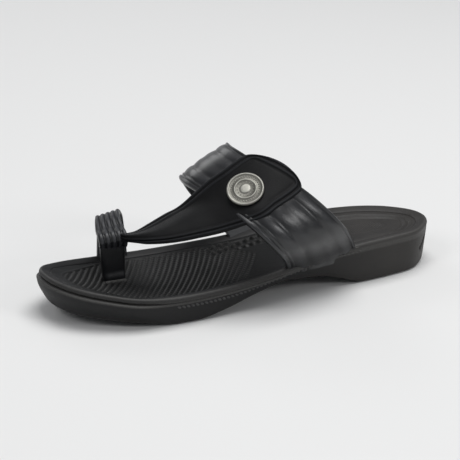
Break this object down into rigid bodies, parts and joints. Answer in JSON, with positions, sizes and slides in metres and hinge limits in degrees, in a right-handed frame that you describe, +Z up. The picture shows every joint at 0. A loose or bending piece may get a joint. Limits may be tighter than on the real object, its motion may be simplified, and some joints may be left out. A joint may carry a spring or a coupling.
{
  "type": "women's slip-on T-strap sandal",
  "caption": "Left slip-on sandal with a moulded heeled sole, instep band, T-strap running to a toe post, ribbed toe loop and round button.",
  "frame": {"origin": "on the ground under the middle of the whole sandal", "axes": "+X towards the heel, +Y towards the medial side, +Z up; the sandal stands on z = 0"},
  "size_m": [0.2508, 0.1038, 0.0876],
  "materials": {
    "sole": "matte moulded foam rubber, dark grey-black",
    "footbed": "matte textured, dark grey",
    "upper": "smooth black with a soft sheen on the band, matte on the T-strap",
    "button": "satin, warm silver"
  },
  "bodies": {
    "root": {"sole": "sole", "footbed": "footbed", "upper": "upper", "button": "button"}
  },
  "joints": []
}
